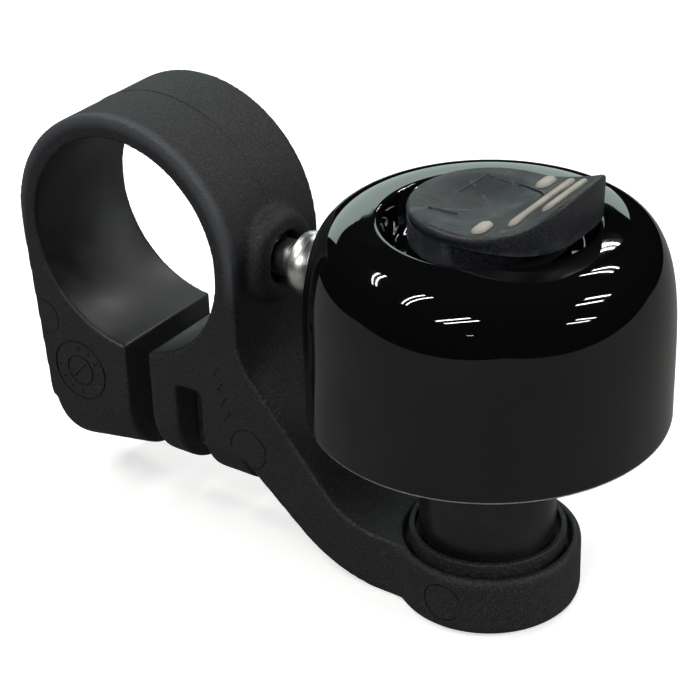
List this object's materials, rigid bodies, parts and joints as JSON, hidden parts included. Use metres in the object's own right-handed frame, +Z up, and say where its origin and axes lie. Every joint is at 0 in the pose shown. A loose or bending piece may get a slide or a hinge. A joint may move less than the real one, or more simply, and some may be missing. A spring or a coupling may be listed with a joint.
{
  "type": "bicycle bell",
  "caption": "Handlebar bicycle bell: a moulded clamp with an arm and foot holds a domed bell on a sprung tilting post with a thumb knob, beside a sprung striker stud.",
  "frame": {"origin": "centre of the handlebar clamp's bore", "axes": "+Y along the bore, +X from the clamp towards the dome, +Z up along the dome's axis"},
  "size_m": [0.0672, 0.0336, 0.0442],
  "materials": {
    "clamp_nylon": "glass-filled nylon, black, fine moulded texture",
    "post_plastic": "smooth black moulding",
    "knob_plastic": "satin charcoal moulding",
    "grip_inlay": "pale grey soft grip",
    "dome_paint": "high-gloss black paint over steel, bare metal at the rim's cut edge",
    "polished_steel": "bright turned steel",
    "zinc_steel": "bright zinc plating",
    "spring_steel": "drawn spring wire",
    "natural_nylon": "natural nylon"
  },
  "bodies": {
    "clamp": {"clamp_bracket": "clamp_nylon", "clamp_screw": "zinc_steel", "clamp_washer": "zinc_steel", "clamp_nut": "zinc_steel", "pivot_bolt": "zinc_steel", "spring_washer": "zinc_steel", "pivot_nut": "zinc_steel", "return_spring": "spring_steel", "striker_spring": "spring_steel"},
    "bell": {"post_cup": "post_plastic", "post": "post_plastic", "isolating_bush": "natural_nylon", "dome": "dome_paint", "isolating_washer": "natural_nylon", "knob_carrier": "clamp_nylon", "dome_screw": "zinc_steel", "knob": "knob_plastic", "knob_dots": "grip_inlay", "knob_bars": "grip_inlay"},
    "striker": {"striker_stud": "polished_steel", "striker_clip": "spring_steel"}
  },
  "joints": [
    {"name": "bell_tilt", "type": "hinge", "parent": "clamp", "child": "bell", "pos_m": [0.0435, 0, -0.024], "axis": [0, 1, 0], "range_deg": [0, 8], "stiffness_Nm_per_rad": 0.8, "springref_deg": -8.59, "deforming": ["return_spring"]},
    {"name": "striker_recoil", "type": "slide", "parent": "clamp", "child": "striker", "axis": [1, 0, 0], "range_m": [-0.0004, 0], "stiffness_N_per_m": 300, "springref_m": 0.0006, "deforming": ["striker_spring"]}
  ]
}
